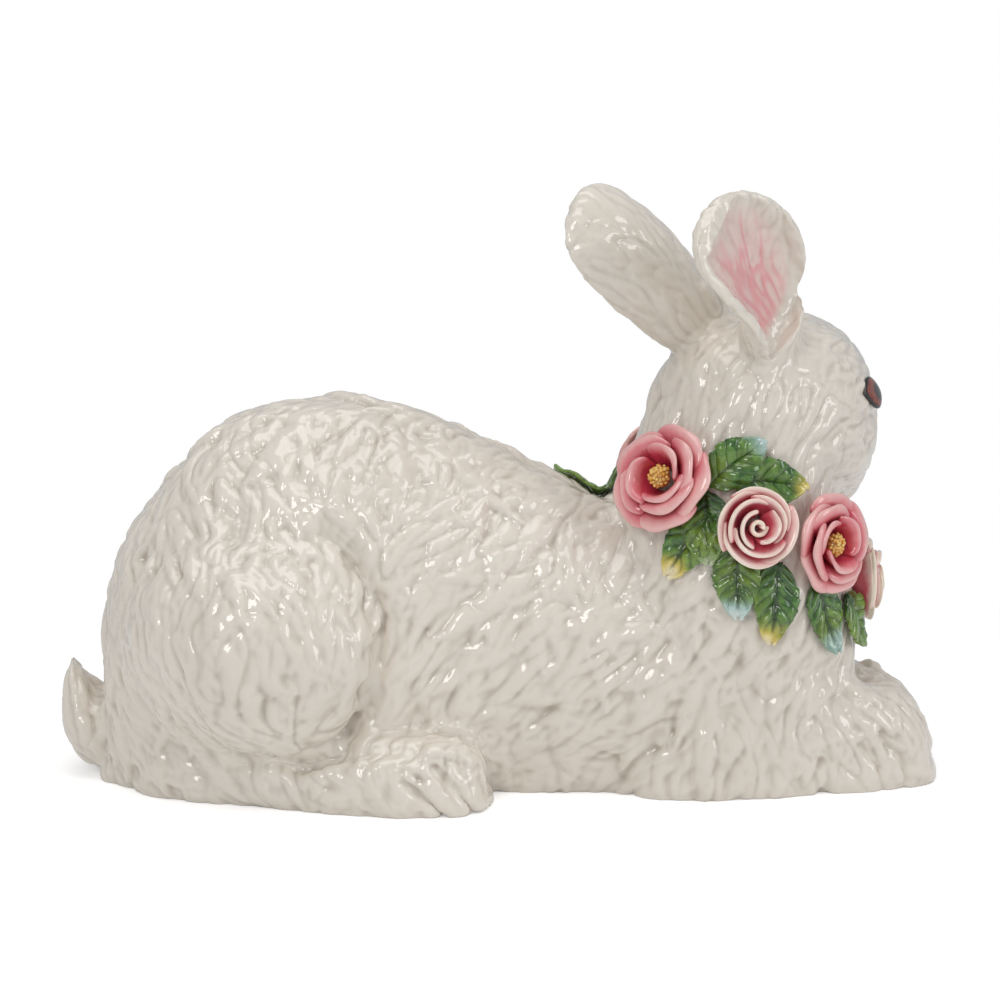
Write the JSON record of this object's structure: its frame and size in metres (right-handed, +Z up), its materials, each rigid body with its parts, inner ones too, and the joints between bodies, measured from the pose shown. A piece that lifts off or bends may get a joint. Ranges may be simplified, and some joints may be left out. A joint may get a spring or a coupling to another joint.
{
  "type": "rabbit figurine",
  "caption": "Glazed ceramic rabbit figurine lying down with its head turned back, carved fur and a collar of roses and leaves; a hollow table or shelf ornament",
  "frame": {"origin": "middle of the footprint, on the surface that the figurine lies on", "axes": "+X is the way the body points, from tail to paws; +Y is the rabbit's left; +Z is up"},
  "size_m": [0.3622, 0.1476, 0.2454],
  "materials": {
    "white_glaze": "glossy warm white glaze over carved fur, taupe where it pools",
    "pink_glaze": "glossy hand-painted pink, paler at the petal rims",
    "cream_glaze": "glossy cream white with pink in the folds",
    "stamen_glaze": "glossy ochre yellow",
    "leaf_glaze": "glossy brushed green, yellow or pale blue at the tips",
    "eye_paint": "glossy red-brown iris with a black pupil"
  },
  "bodies": {
    "root": {"body_shell": "white_glaze", "head_shell": "white_glaze", "ear_left": "white_glaze", "ear_right": "white_glaze", "tail": "white_glaze", "foreleg_left": "white_glaze", "foreleg_right": "white_glaze", "hind_foot_left": "white_glaze", "hind_foot_right": "white_glaze", "eye_left": "eye_paint", "eye_right": "eye_paint", "rose_1_outer_petals": "pink_glaze", "rose_1_inner_petals": "pink_glaze", "rose_1_heart": "stamen_glaze", "rose_2_outer_petals": "pink_glaze", "rose_2_inner_petals": "pink_glaze", "rose_2_heart": "stamen_glaze", "rose_3_outer_petals": "pink_glaze", "rose_3_inner_petals": "pink_glaze", "rose_3_heart": "stamen_glaze", "rose_4_outer_petals": "pink_glaze", "rose_4_inner_petals": "pink_glaze", "rose_4_heart": "stamen_glaze", "rose_5_outer_petals": "cream_glaze", "rose_5_inner_petals": "cream_glaze", "rose_5_heart": "cream_glaze", "rose_6_outer_petals": "cream_glaze", "rose_6_inner_petals": "cream_glaze", "rose_6_heart": "cream_glaze", "rose_7_outer_petals": "cream_glaze", "rose_7_inner_petals": "cream_glaze", "rose_7_heart": "cream_glaze", "leaf_01": "leaf_glaze", "leaf_02": "leaf_glaze", "leaf_03": "leaf_glaze", "leaf_04": "leaf_glaze", "leaf_05": "leaf_glaze", "leaf_06": "leaf_glaze", "leaf_07": "leaf_glaze", "leaf_08": "leaf_glaze", "leaf_09": "leaf_glaze", "leaf_10": "leaf_glaze", "leaf_11": "leaf_glaze", "leaf_12": "leaf_glaze", "leaf_13": "leaf_glaze", "leaf_14": "leaf_glaze", "leaf_15": "leaf_glaze", "leaf_16": "leaf_glaze"}
  },
  "joints": []
}
